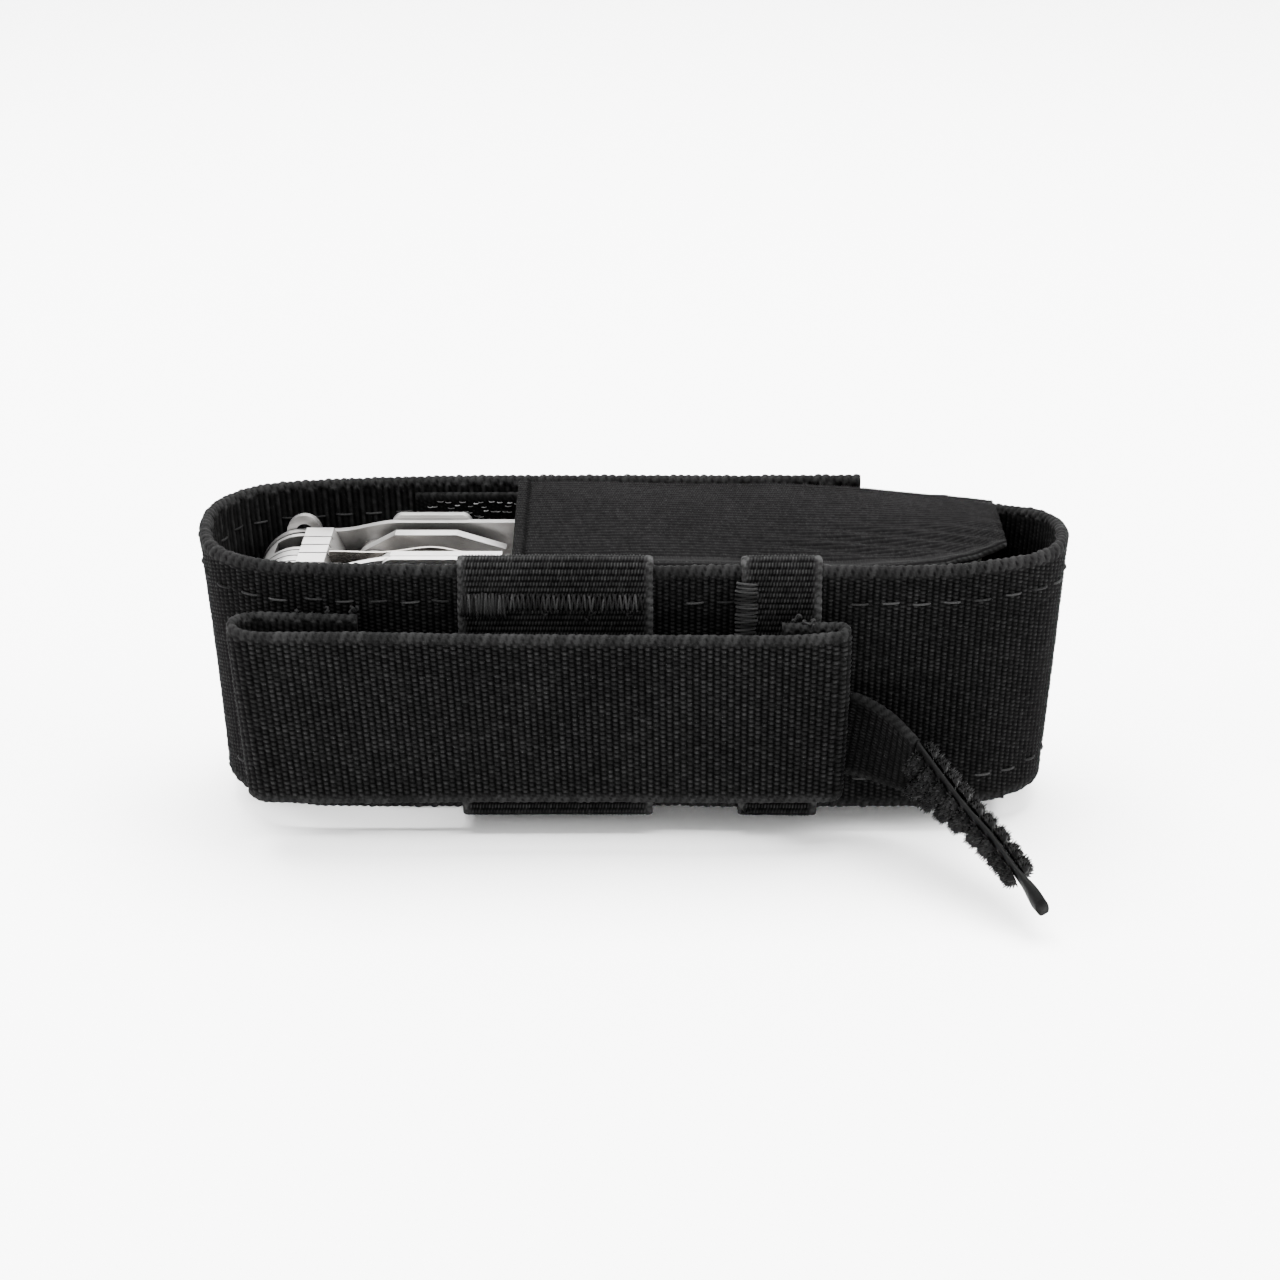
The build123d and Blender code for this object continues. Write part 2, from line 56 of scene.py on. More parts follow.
def box_mm(node):
    """A CAD node's lowest and highest corners, in millimetres."""
    low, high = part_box(node)
    return np.array(low) / MM, np.array(high) / MM


sheath_low, sheath_high = box_mm("sheath_webbing")
_, flap_high = box_mm("flap_webbing")
loop_low, loop_high = box_mm("belt_loop")
wide_low, wide_high = box_mm("wide_wrap")
narrow_low, narrow_high = box_mm("narrow_wrap")
gusset_low, gusset_high = box_mm("gusset_top")
under_low, under_high = box_mm("gusset_bottom")
hook_tape_low, hook_tape_high = box_mm("flap_hook_tape")
loop_tape_low, loop_tape_high = box_mm("loop_tape")
root_low, root_high = box_mm("strap_root")

# Main webbing
web_bottom, web_top = sheath_low[2], sheath_high[2]
web_width = web_top - web_bottom
web_thickness = 1.8
near_y = sheath_low[1] + web_thickness / 2
pocket_y = gusset_high[1] + web_thickness / 2
flap_y = flap_high[1] - web_thickness / 2
end_x = sheath_high[0] - web_thickness / 2
corner_radius = 9.0
near_rim_dip = 1.6                     # the near rim sits lower than the other rims
pocket_rim_dip = 1.8
bottom_lean = 2.3                      # the ends lean in towards the floor
left_corner_x = -sheath_high[0] + corner_radius

# Weaves: distance between columns, and between stitches in one column
web_pitch = (0.92, 0.58)
loop_pitch = (0.96, 0.70)
wrap_pitch = (0.83, 0.44)
gusset_pitch = (0.85, 0.36)
strap_pitch = (1.0, 0.5)
tape_pitch = (0.6, 0.6)


# ---------------------------------------------------------------- materials


def new_material(name):
    """An empty material: returns it with its node tree and its shader."""
    material = bpy.data.materials.new(name)
    material.use_nodes = True
    tree = material.node_tree
    tree.nodes.clear()
    output = tree.nodes.new("ShaderNodeOutputMaterial")
    shader = tree.nodes.new("ShaderNodeBsdfPrincipled")
    tree.links.new(shader.outputs[0], output.inputs[0])
    return material, tree, shader


def noise_node(tree, scale, detail=3.0, stretch=(1, 1, 1)):
    """Noise in object space, with scale in features per metre."""
    coordinates = tree.nodes.new("ShaderNodeTexCoord")
    mapping = tree.nodes.new("ShaderNodeMapping")
    mapping.inputs["Scale"].default_value = stretch
    noise = tree.nodes.new("ShaderNodeTexNoise")
    noise.inputs["Scale"].default_value = scale
    noise.inputs["Detail"].default_value = detail
    tree.links.new(coordinates.outputs["Object"], mapping.inputs[0])
    tree.links.new(mapping.outputs[0], noise.inputs[0])
    return noise


def weighted_sum(tree, terms):
    """The sum of values, each times its weight."""
    total = None
    for value, weight in terms:
        node = tree.nodes.new("ShaderNodeMath")
        node.operation = "MULTIPLY_ADD"
        node.inputs[1].default_value = weight
        node.inputs[2].default_value = 0.0
        tree.links.new(value, node.inputs[0])
        if total is not None:
            tree.links.new(total, node.inputs[2])
        total = node.outputs[0]
    return total


def ramp_node(tree, source, stops):
    """A colour ramp over a value, from (position, colour) pairs."""
    ramp = tree.nodes.new("ShaderNodeValToRGB")
    elements = ramp.color_ramp.elements
    while len(elements) < len(stops):
        elements.new(0.5)
    for element, (position, colour) in zip(elements, stops):
        element.position = position
        element.color = (*colour, 1)
    tree.links.new(source, ramp.inputs[0])
    return ramp.outputs[0]


def range_node(tree, source, low, high):
    """A value from 0 to 1, spread over a new range."""
    node = tree.nodes.new("ShaderNodeMapRange")
    node.inputs["To Min"].default_value = low
    node.inputs["To Max"].default_value = high
    tree.links.new(source, node.inputs["Value"])
    return node.outputs[0]


def add_bump(tree, shader, height, strength, depth):
    """Fine relief on a shader; depth is in millimetres."""
    bump = tree.nodes.new("ShaderNodeBump")
    bump.inputs["Strength"].default_value = strength
    bump.inputs["Distance"].default_value = depth * MM
    tree.links.new(height, bump.inputs["Height"])
    tree.links.new(bump.outputs[0], shader.inputs["Normal"])


def grey(value, warmth=0.0):
    return (value * (1 + warmth), value, value * (1 - warmth))


def yarn_material(name, dark, light, roughness=0.8, sheen=0.0):
    """Woven yarn: painted shade in the grooves, carried by the tone attribute, each stitch with its own tone,
    with fine fibres.
    """
    material, tree, shader = new_material(name)
    tone = tree.nodes.new("ShaderNodeAttribute")
    tone.attribute_name = "tone"
    fibres = noise_node(tree, 4200, 4.0).outputs[0]
    patches = noise_node(tree, 90, 3.0).outputs[0]
    shade = weighted_sum(tree, [(tone.outputs["Fac"], 0.62), (fibres, 0.24), (patches, 0.2)])
    middle = (dark + light) * 0.3
    colour = ramp_node(tree, shade, [(0.32, grey(dark)), (0.64, grey(middle)), (0.92, grey(light))])
    tree.links.new(colour, shader.inputs["Base Color"])
    rough = range_node(tree, fibres, roughness + 0.12, roughness - 0.12)
    tree.links.new(rough, shader.inputs["Roughness"])
    shader.inputs["Specular IOR Level"].default_value = 0.02
    shader.inputs["Sheen Weight"].default_value = sheen
    shader.inputs["Sheen Roughness"].default_value = 0.45
    add_bump(tree, shader, fibres, 0.45, 0.07)
    return material


def steel_material(name, value, roughness, grain=(1, 25, 25), depth=0.006, warmth=0.02):
    """Satin steel with a fine grain along one axis and faint handling marks, its colour darkened by painted
    shade in gaps and hollows.
    """
    material, tree, shader = new_material(name)
    lines = noise_node(tree, 500, 4.0, grain).outputs[0]
    marks = noise_node(tree, 170, 5.0).outputs[0]
    stops = [(0.3, grey(0.84 * value, warmth)), (0.62, grey(value, warmth))]
    bright = ramp_node(tree, marks, stops)
    # Painted shade: ambient occlusion darkens the steel's colour in the gaps between parts and in hollows.
    hollow = tree.nodes.new("ShaderNodeAmbientOcclusion")
    hollow.inputs["Distance"].default_value = 7 * MM
    hollow.samples = 8
    painted_shade_stops = [(0.12, grey(0.07)), (0.45, grey(0.4)), (0.8, grey(1.0))]
    painted_shade = ramp_node(tree, hollow.outputs["AO"], painted_shade_stops)
    painted_shade_mix = tree.nodes.new("ShaderNodeMix")
    painted_shade_mix.data_type = "RGBA"
    painted_shade_mix.blend_type = "MULTIPLY"
    # A Mix node has sockets for every data type; these are its factor and its colour sockets.
    factor, first_colour, second_colour, mixed_colour = 0, 6, 7, 2
    painted_shade_mix.inputs[factor].default_value = 1.0
    tree.links.new(bright, painted_shade_mix.inputs[first_colour])
    tree.links.new(painted_shade, painted_shade_mix.inputs[second_colour])
    tree.links.new(painted_shade_mix.outputs[mixed_colour], shader.inputs["Base Color"])
    wear = weighted_sum(tree, [(lines, 0.6), (marks, 0.4)])
    rough = range_node(tree, wear, roughness - 0.1, roughness + 0.12)
    tree.links.new(rough, shader.inputs["Roughness"])
    shader.inputs["Metallic"].default_value = 1.0
    add_bump(tree, shader, lines, 0.35, depth)
    return material


webbing_yarn = yarn_material("webbing_yarn", 0.0001, 0.01)
loop_yarn = yarn_material("loop_yarn", 0.0001, 0.0115)
wrap_yarn = yarn_material("wrap_yarn", 0.0001, 0.026)
gusset_yarn = yarn_material("gusset_yarn", 0.0001, 0.0095, 0.85)
strap_yarn = yarn_material("strap_yarn", 0.0002, 0.007)
tape_yarn = yarn_material("tape_yarn", 0.0005, 0.008)
thread_yarn = yarn_material("thread_yarn", 0.0008, 0.022, 0.7)
# The hooks' light colour is a painted glint, lighter than the nylon's own colour.
painted_glint_hook_nylon = yarn_material("painted_glint_hook_nylon", 0.006, 0.16, 0.4)
hook_nylon = yarn_material("hook_nylon", 0.0005, 0.012, 0.5)
plate_steel = steel_material("plate_steel", 0.62, 0.3)
blade_steel = steel_material("blade_steel", 0.55, 0.3)
jaw_steel = steel_material("jaw_steel", 0.57, 0.34, (1, 1, 1))
pin_steel = steel_material("pin_steel", 0.66, 0.24, (1, 1, 1))
spring_steel = steel_material("spring_steel", 0.5, 0.26, warmth=0.08)


# ---------------------------------------------------------------- curves and weaves


def smooth_curve(points, per_span=40):
    """A Catmull-Rom curve through control points, as a dense list of points."""
    p = np.array(points, float)
    p = np.vstack([2 * p[0] - p[1], p, 2 * p[-1] - p[-2]])
    t = np.linspace(0, 1, per_span, endpoint=False)[:, None]
    spans = []
    for a, b, c, d in zip(p[:-3], p[1:-2], p[2:-1], p[3:]):
        cubic = 3 * b - a - 3 * c + d
        square = 2 * a - 5 * b + 4 * c - d
        spans.append(0.5 * (2 * b + (c - a) * t + square * t**2 + cubic * t**3))
    return np.vstack([*spans, p[-2]])


def lengths_along(curve):
    """Distance from a curve's start to each of its points."""
    steps = np.linalg.norm(np.diff(curve, axis=0), axis=1)
    return np.concatenate([[0], np.cumsum(steps)])


def pick(curve, lengths, distance):
    """Points of a curve at given distances from its start."""
    return np.column_stack([np.interp(distance, lengths, curve[:, k]) for k in range(3)])


def unit(vectors):
    return vectors / (np.linalg.norm(vectors, axis=-1, keepdims=True) + 1e-12)


def chance(i, j, seed):
    """A repeatable value from 0 to 1 for each pair of whole numbers."""
    value = np.sin(i * 127.1 + j * 311.7 + seed * 74.7) * 43758.5453
    return value - np.floor(value)


def woven(u, v, pitch, wander=0.14, order=2.4):
    """Height and tone, 0 to 1, of rounded stitches in columns, each half a stitch off the last. The tone
    follows the height, which is painted shade in the grooves, plus a random part for each stitch.
    """
    column = np.floor(u / pitch[0] + 1e-6)
    shifted = v / pitch[1] + 0.5 * (column % 2)
    stitch = np.floor(shifted + 1e-6)
    a = 2 * (u / pitch[0] - column) - 1 + wander * (chance(column, stitch, 1) - 0.5)
    b = 2 * (shifted - stitch) - 1
    across = np.sqrt(np.clip(1 - np.abs(a) ** order, 0, 1))
    length = np.clip(1 - 0.97 * np.abs(b) ** order, 0, 1) ** 0.6
    height = across * length * (0.75 + 0.35 * chance(column, stitch, 2))
    return height, 0.85 * height + 0.15 * chance(column, stitch, 5)


def twisted(u, w, pitch=1.15, slant=0.4):
    """Height and tone of the twisted yarn that closes a webbing's edge. The tone follows the height, which is
    painted shade between the strands.
    """
    phase = u / pitch + slant * w
    strand = np.floor(phase)
    a = 2 * (phase - strand) - 1
    height = np.sqrt(np.clip(1 - np.abs(a) ** 2.2, 0, 1)) * (0.75 + 0.45 * chance(strand, 0 * strand, 9))
    return height, 0.3 + 0.65 * height


def slow_wave(size, seed):
    """Gentle unevenness of a soft panel, in millimetres, as a function of place."""
    phase = np.random.default_rng(seed).uniform(0, 2 * math.pi, 4)

    def wave(u, v):
        value = np.sin(u / 9.0 + phase[0] + 2.1 * v) + 0.6 * np.sin(u / 4.7 + phase[1] - 3.0 * v)
        return size * (value + 0.5 * np.sin(5.0 * v + phase[2] + u / 15.0)) / 2.1

    return wave


# ---------------------------------------------------------------- meshes


def mesh_object(name, vertices, faces, material, tones):
    """A smooth-shaded object from vertices in millimetres, with a tone at each vertex."""
    mesh = bpy.data.meshes.new(name)
    mesh.from_pydata((np.asarray(vertices) * MM).tolist(), [], faces)
    mesh.materials.append(material)
    tone = mesh.attributes.new("tone", "FLOAT", "POINT")
    tone.data.foreach_set("value", np.asarray(tones, np.float32))
    mesh.polygons.foreach_set("use_smooth", [True] * len(mesh.polygons))
    obj = bpy.data.objects.new(name, mesh)
    bpy.context.scene.collection.objects.link(obj)
    return obj


def grid_faces(rows, columns, wrap_rows=False):
    """Quads of a grid of vertices, numbered row by row."""
    grid = np.arange(rows * columns).reshape(rows, columns)
    low = grid if wrap_rows else grid[:-1]
    high = np.roll(grid, -1, axis=0) if wrap_rows else grid[1:]
    quads = np.stack([low[:, :-1], high[:, :-1], high[:, 1:], low[:, 1:]], axis=-1)
    return quads.reshape(-1, 4).tolist(), grid


class Bundle:
    """Collects many small shapes into one mesh."""

    def __init__(self):
        self.vertices, self.faces, self.tones, self.count = [], [], [], 0

    def add(self, vertices, faces, tone):
        self.vertices.append(np.asarray(vertices, float))
        self.faces += [tuple(i + self.count for i in face) for face in faces]
        self.tones.append(np.broadcast_to(np.asarray(tone, float), len(vertices)))
        self.count += len(vertices)

    def tube(self, route, radius, sides=6, tone=0.8):
        """A closed round tube along a route; the radius may change along it."""
        route = np.asarray(route, float)
        radius = np.broadcast_to(np.asarray(radius, float), len(route))
        tangent = unit(np.gradient(route, axis=0))
        first = unit(np.cross(tangent, (0.13, 0.31, 0.94)))
        second = np.cross(tangent, first)
        angle = np.arange(sides) * 2 * math.pi / sides
        ring = first[:, None] * np.cos(angle)[:, None] + second[:, None] * np.sin(angle)[:, None]
        vertices = (route[:, None] + ring * radius[:, None, None]).reshape(-1, 3)
        grid = np.arange(len(route) * sides).reshape(len(route), sides)
        around = np.roll(grid, -1, axis=1)
        faces = np.stack([grid[:-1], around[:-1], around[1:], grid[1:]], axis=-1).reshape(-1, 4).tolist()
        self.add(vertices, [*faces, grid[0][::-1].tolist(), grid[-1].tolist()], tone)

    def build(self, name, material):
        return mesh_object(
            name, np.vstack(self.vertices), self.faces, material, np.concatenate(self.tones)
        )


class Strip:
    """A woven strip between two curves. Its outer face is on the side of rise x run."""

    def __init__(
        self, top, bottom, thickness, pitch, relief=0.3, edge=0.3, wave=None, seen_inside=0.0
    ):
        self.top, self.bottom = smooth_curve(top), smooth_curve(bottom)
        self.top_lengths = lengths_along(self.top)
        self.length = self.top_lengths[-1]
        self.bottom_lengths = lengths_along(self.bottom)
        self.bottom_lengths *= self.length / self.bottom_lengths[-1]
        self.width = float(np.linalg.norm(self.top[0] - self.bottom[0]))
        self.thickness, self.pitch = thickness, pitch
        self.relief, self.edge, self.wave = relief, edge, wave
        self.seen_inside = seen_inside         # depth below the rim where the inner face shows

    def lines(self, u):
        """The bottom curve, the step to the top curve, and the outward normal, at distances u."""
        u = np.clip(u, 0, self.length)
        low = pick(self.bottom, self.bottom_lengths, u)
        rise = pick(self.top, self.top_lengths, u) - low
        reach = 0.7
        ahead, behind = np.clip(u + reach, 0, self.length), np.clip(u - reach, 0, self.length)
        run = pick(self.top, self.top_lengths, ahead) - pick(self.top, self.top_lengths, behind)
        run += pick(self.bottom, self.bottom_lengths, ahead) - pick(self.bottom, self.bottom_lengths, behind)
        return low, rise, unit(np.cross(rise, run))

    def on_face(self, u, share, lift=0.0, side=1):
        """Points on the outer face (side 1) or the inner face (side -1)."""
        u, share = np.broadcast_arrays(np.atleast_1d(np.asarray(u, float)), np.asarray(share, float))
        low, rise, normal = self.lines(u)
        shift = self.wave(u, share) if self.wave else 0.0 * u
        reach = side * (self.thickness / 2 + lift) + shift
        return low + rise * share[:, None] + normal * reach[:, None]

    def rows(self, fine, coarse, edge_rows=8):
        """The cross-section's rows: (height, outward share, upward share, edge distance, on a face)."""
        half, width = self.thickness / 2, self.width
        first = math.ceil(half / fine)
        rows = [(k * fine, 1.0, 0.0, 0.0, True) for k in range(first, int((width - half) / fine))]
        for angle in np.linspace(0, math.pi, edge_rows):
            rows.append((width - half, math.cos(angle), math.sin(angle), half * angle, False))
        seen = min(self.seen_inside, width - 2 * half)
        seen_rows = np.arange(width - half, width - half - seen, -2 * fine)
        hidden_rows = np.arange(width - half - seen, half, -coarse)
        rows += [(z, -1.0, 0.0, 0.0, True) for z in [*seen_rows, *hidden_rows]]
        for angle in np.linspace(math.pi, 2 * math.pi, edge_rows):
            rows.append((half, math.cos(angle), math.sin(angle), half * (angle - math.pi), False))
        return rows

    def build(self, name, material, start=0.0, end=None, columns=3, fine=None, coarse=None):
        """The strip's mesh between two distances; fine and coarse are the rows' steps."""
        step = self.pitch[0] / columns
        first, last = round(start / step), round((self.length if end is None else end) / step)
        u = np.arange(first, last + 1) * step
        low, rise, normal = self.lines(u)
        up = unit(rise)
        half = self.thickness / 2
        rows = self.rows(fine or self.pitch[1] / 4, coarse or self.pitch[1] * 2)
        vertices, tones = [], []
        # The tones follow the relief: painted shade in the grooves between stitches and strands.
        for z, out, above, edge_distance, on_face in rows:
            rope, rope_tone = twisted(u, edge_distance + 0 * u)
            height, tone = rope * self.edge, rope_tone
            if on_face:
                reach = min(z, self.width - z) - half
                weave = float(np.clip(reach / 0.9, 0, 1))
                turned = 1 if (out > 0) == (z > self.width / 2) else -1
                rope, rope_tone = twisted(u, -reach * turned + 0 * u)
                stitches, stitch_tone = woven(u, z + 0 * u, self.pitch)
                height = stitches * self.relief * weave + rope * self.edge * (1 - weave)
                tone = stitch_tone * weave + rope_tone * (1 - weave)
            shift = self.wave(u, z / self.width) if self.wave else 0.0 * u
            reach = out * (half - self.relief / 2 + height) + shift
            share = z / self.width
            past_edge = above * (half + height)
            vertices.append(low + rise * share + normal * reach[:, None] + up * past_edge[:, None])
            tones.append(tone)
        faces, grid = grid_faces(len(rows), len(u), wrap_rows=True)
        faces.append(grid[::-1, 0].tolist())
        faces.append(grid[:, -1].tolist())
        return mesh_object(name, np.vstack(vertices), faces, material, np.concatenate(tones))


def dashes(bundle, strip, share, start, end, seed, side=1, length=3.0, gap=1.5, radius=0.17):
    """A row of stitches along a strip, each dipping into the weave at both ends."""
    jitter = np.random.default_rng(seed)
    u = start
    while u + length < end:
        along_dash = u + np.linspace(0, length, 7) + jitter.uniform(-0.2, 0.2)
        sag = np.array([-0.45, 0.05, 0.2, 0.22, 0.2, 0.05, -0.45])
        line = share + jitter.uniform(-0.006, 0.006) + np.linspace(0, jitter.uniform(-0.006, 0.006), 7)
        points = np.vstack([strip.on_face(a, s, h, side) for a, s, h in zip(along_dash, line, sag)])
        bundle.tube(points, radius, 6, jitter.uniform(0.55, 1.0))
        u += length + gap + jitter.uniform(-0.25, 0.25)


def zigzag(bundle, strip, u_limits, share_limits, turns, seed, across_u=False, radius=0.15):
    """Dense back-and-forth stitching over an area of a strip."""
    jitter = np.random.default_rng(seed)
    for turn in range(turns):
        a, b = turn / turns, (turn + 0.55) / turns
        ends = np.array([[a, jitter.uniform(-0.06, 0.06)], [b, 1 + jitter.uniform(-0.06, 0.06)]])
        if across_u:
            ends = ends[:, ::-1]
        t = np.linspace(0, 1, 6)
        following = ends[0] + np.array([1, 0] if not across_u else [0, 1]) / turns
        for p, q in ((ends[0], ends[1]), (ends[1], following)):
            u = u_limits[0] + (u_limits[1] - u_limits[0]) * (p[0] + (q[0] - p[0]) * t)
            share = share_limits[0] + (share_limits[1] - share_limits[0]) * (p[1] + (q[1] - p[1]) * t)
            lift = 0.12 + 0.32 * np.sin(math.pi * t) ** 0.5
            points = np.vstack([strip.on_face(i, j, k) for i, j, k in zip(u, share, lift)])
            bundle.tube(points, radius, 5, jitter.uniform(0.35, 1.0))


def loose_thread(bundle, start, reach, seed, radius=0.12, curls=4, tone=0.6):
    """A thread end that curls about a starting point."""
    jitter = np.random.default_rng(seed)
    knots = np.array(start) + np.cumsum(jitter.normal(0, reach / curls, (curls + 2, 3)), axis=0)
    bundle.tube(smooth_curve(knots, 8), radius, 5, tone)


# ---------------------------------------------------------------- main webbing


def webbing_line(rim):
    """The webbing's middle line from the pocket's start round to the flap's end, top or bottom."""
    lean = 0.0 if rim else bottom_lean
    right, left = end_x - lean, -end_x + lean
    near_top, pocket_top = web_top - near_rim_dip, web_top - pocket_rim_dip
    plan = [
        (gusset_low[0], pocket_y, pocket_top), (5, pocket_y, pocket_top), (30, pocket_y, pocket_top),
        (43, pocket_y - 0.4, pocket_top - 0.3), (52, pocket_y - 2.0, web_top - 2.4),
        (right - 4.0, pocket_y - 6.0, web_top - 1.6), (right - 0.9, 2.6, web_top - 1.0),
        (right, -3.0, web_top - 0.8), (right - 1.4, -9.3, web_top - 0.9),
        (right - 5.6, -13.6, web_top - 1.2), (48, -16.2, near_top + 0.1), (40, near_y + 0.1, near_top - 0.1),
        (15, near_y, near_top - 0.1), (-15, near_y, near_top), (-40, near_y + 0.1, near_top + 0.1),
        (-50, near_y + 0.6, near_top + 0.4), (left + 4.4, -13.6, web_top - 0.7),
        (left + 1.0, -8.2, web_top - 0.3),
        (left, -1.6, web_top), (left + 0.5, 4.6, web_top), (left + 3.8, 10.6, web_top),
        (left + 10.0, 14.6, web_top - 0.1), (-38, 16.3, web_top), (-15, flap_y, web_top),
        (10, flap_y, web_top), (flap_high[0], flap_y, web_top),
    ]
    if rim:
        return plan
    return [(x, y, web_bottom + 0.9 * min(1.0, max(0.0, (-x - 45) / 15))) for x, y, _ in plan]


webbing = Strip(
    webbing_line(True), webbing_line(False), web_thickness - 0.3, web_pitch, 0.32, 0.42,
    slow_wave(0.25, 4), 9.0,
)
left_turn = np.where(webbing.top[:, 0] < -end_x + 0.6)[0]
turn_middle = webbing.top_lengths[left_turn[np.argmin(np.abs(webbing.top[left_turn, 1]))]]
turn_middle = round(turn_middle / web_pitch[0]) * web_pitch[0]

arc_reach = corner_radius - web_thickness / 2
near_fold = (Vector((left_corner_x, near_y, 0)) * MM, Vector((-end_x, near_y + arc_reach, 0)) * MM)
far_fold = (Vector((-end_x, flap_y - arc_reach, 0)) * MM, Vector((left_corner_x, flap_y, 0)) * MM)


def finish_piece(obj, body=None, nodes=(), bends=None):
    """Tie a piece to its body, or for a piece across a bend only bake its place in; hide the CAD nodes it
    stands for.
    """
    if bends:
        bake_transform(obj)
    else:
        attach(obj, body)
    if nodes:
        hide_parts(*nodes)


near_bend = ("sheath", "flap_turn", near_fold)
far_bend = ("flap_turn", "flap", far_fold)
finish_piece(
    webbing.build("webbing_body", webbing_yarn, 0, turn_middle),
    nodes=("sheath_webbing",), bends=near_bend,
)
finish_piece(
    webbing.build("webbing_flap", webbing_yarn, turn_middle, fine=web_pitch[1] / 2),
    nodes=("flap_webbing", "flap_turn_webbing"), bends=far_bend,
)


def webbing_distance(x, y_sign):
    """Distance along the webbing to a place on its near (-1) or far (1) side."""
    near_side = webbing.top[:, 1] * y_sign > 8
    if y_sign > 0:
        near_side &= webbing.top_lengths > turn_middle
    candidates = np.where(near_side)[0]
    return webbing.top_lengths[candidates[np.argmin(np.abs(webbing.top[candidates, 0] - x))]]


body_stitches = Bundle()
upper_line = 1 - 5.2 / web_width
lower_line = 4.6 / web_width
dashes(body_stitches, webbing, upper_line, webbing_distance(60, -1) - 6, webbing_distance(27, -1), 11)
dashes(body_stitches, webbing, upper_line, webbing_distance(14, -1), webbing_distance(3.5, -1), 12)
dashes(body_stitches, webbing, upper_line, webbing_distance(-25.5, -1), turn_middle - 3, 13)
dashes(body_stitches, webbing, lower_line, webbing_distance(60, -1) - 4, webbing_distance(30, -1), 14)
dashes(body_stitches, webbing, lower_line, webbing_distance(29, -1), turn_middle - 4, 15)
finish_piece(body_stitches.build("body_stitches", thread_yarn), bends=near_bend)

flap_stitches = Bundle()
for line, seed in ((upper_line, 16), (lower_line, 17)):
    for side in (1, -1):
        dashes(flap_stitches, webbing, line, turn_middle + 3, webbing.length - 3, seed, side)
finish_piece(flap_stitches.build("flap_stitches", thread_yarn), bends=far_bend)


# ---------------------------------------------------------------- belt loop

loop_thickness = 1.6
loop_front = loop_low[1] + loop_thickness / 2
left_foot_y = loop_high[1] - loop_thickness / 2
right_foot_y = root_low[1] - loop_thickness / 2


def belt_loop_line(rim):
    """The belt loop's middle line from its right foot round to its left foot."""
    z = loop_high[2] if rim else loop_low[2]
    left = loop_low[0] + loop_thickness / 2 + (0.0 if rim else 1.7)
    right = loop_high[0] - loop_thickness / 2 - (0.0 if rim else 0.4)
    lift = 0.5 if rim else 0.0
    return [
        (20.5, right_foot_y, z + lift), (25, right_foot_y, z + lift),
        (right - 1.4, right_foot_y - 0.1, z + 1.3 * lift), (right - 0.1, right_foot_y - 0.9, z + 1.7 * lift),
        (right - 0.2, loop_front + 1.0, z + 1.4 * lift), (right - 1.6, loop_front + 0.1, z + lift),
        (20, loop_front - 0.1, z), (0, loop_front, z), (-20, loop_front + 0.2, z + 0.2 * lift),
        (-36, loop_front - 0.2, z + 1.2 * lift), (-50, loop_front - 0.1, z + lift),
        (left + 1.6, loop_front + 0.3, z + 1.6 * lift), (left, loop_front + 2.0, z + 2.4 * lift),
        (left + 0.4, left_foot_y - 1.6, z + 2.6 * lift), (left + 3.0, left_foot_y - 0.1, z + 2.4 * lift),
        (-47, left_foot_y, z + 2.0 * lift), (-38.5, left_foot_y, z + 1.6 * lift),
    ]


belt_loop = Strip(
    belt_loop_line(True), belt_loop_line(False), loop_thickness - 0.2, loop_pitch, 0.36, 0.22,
    slow_wave(0.2, 9), 3.0,
)
finish_piece(
    belt_loop.build("belt_loop_webbing", loop_yarn, coarse=loop_pitch[1]), "sheath",
    ("belt_loop",),
)

loop_threads = Bundle()
foot_start = belt_loop.length - 9.0
for count, (distance, size) in enumerate(((0.4, 0.9), (1.2, 1.3), (4.6, 0.8), (8.0, 1.0), (8.7, 1.2))):
    rim_point = belt_loop.on_face(foot_start + distance, 1.0, 0.1)[0]
    loose_thread(loop_threads, rim_point, 1.5 * size, 50 + count, 0.2, 6, 0.8)
for count, (distance, size) in enumerate(((2.0, 0.9), (3.4, 1.1), (4.2, 0.8))):
    rim_point = belt_loop.on_face(distance, 1.0, 0.1)[0]
    loose_thread(loop_threads, rim_point, 1.5 * size, 60 + count, 0.2, 6, 0.8)
zigzag(loop_threads, belt_loop, (foot_start + 1.0, foot_start + 3.4), (0.05, 0.95), 30, 70, radius=0.14)
zigzag(loop_threads, belt_loop, (2.0, 4.4), (0.05, 0.95), 30, 71, radius=0.14)
finish_piece(loop_threads.build("belt_loop_threads", thread_yarn), "sheath")


# ---------------------------------------------------------------- elastic wraps


def wrap_line(x, tuck):
    """An elastic wrap's middle line, from the far side, under the sheath, over the near rim."""
    out = near_y - web_thickness / 2 - 0.5
    back = loop_tape_high[1] - 0.4
    rim = web_top - near_rim_dip
    return [
        (x, back, 7.0), (x, back, 3.0), (x, back - 0.6, 1.1), (x, back - 2.0, 0.78), (x, 0, 0.76),
        (x, -14, 0.78), (x, out + 1.2, 0.9), (x, out, 1.9), (x, out, 5), (x, out, 20), (x, out, rim - 3),
        (x, out + 0.1, rim - 0.4), (x, out + 0.7, rim + 0.75), (x, near_y, rim + 1.1),
        (x, near_y + 1.3, rim + 0.5), (x, near_y + 1.7, rim - tuck),
    ]


def elastic_wrap(name, node, low, high, seed):
    """One elastic wrap, built and tied to the sheath."""
    strip = Strip(
        wrap_line(high[0], 2.6), wrap_line(low[0], 2.6), 0.9, wrap_pitch, 0.28, 0.16,
        slow_wave(0.08, seed),
    )
    obj = strip.build(name, wrap_yarn, fine=wrap_pitch[1] / 2, coarse=wrap_pitch[1] * 3)
    finish_piece(obj, "sheath", (node,))
    return strip


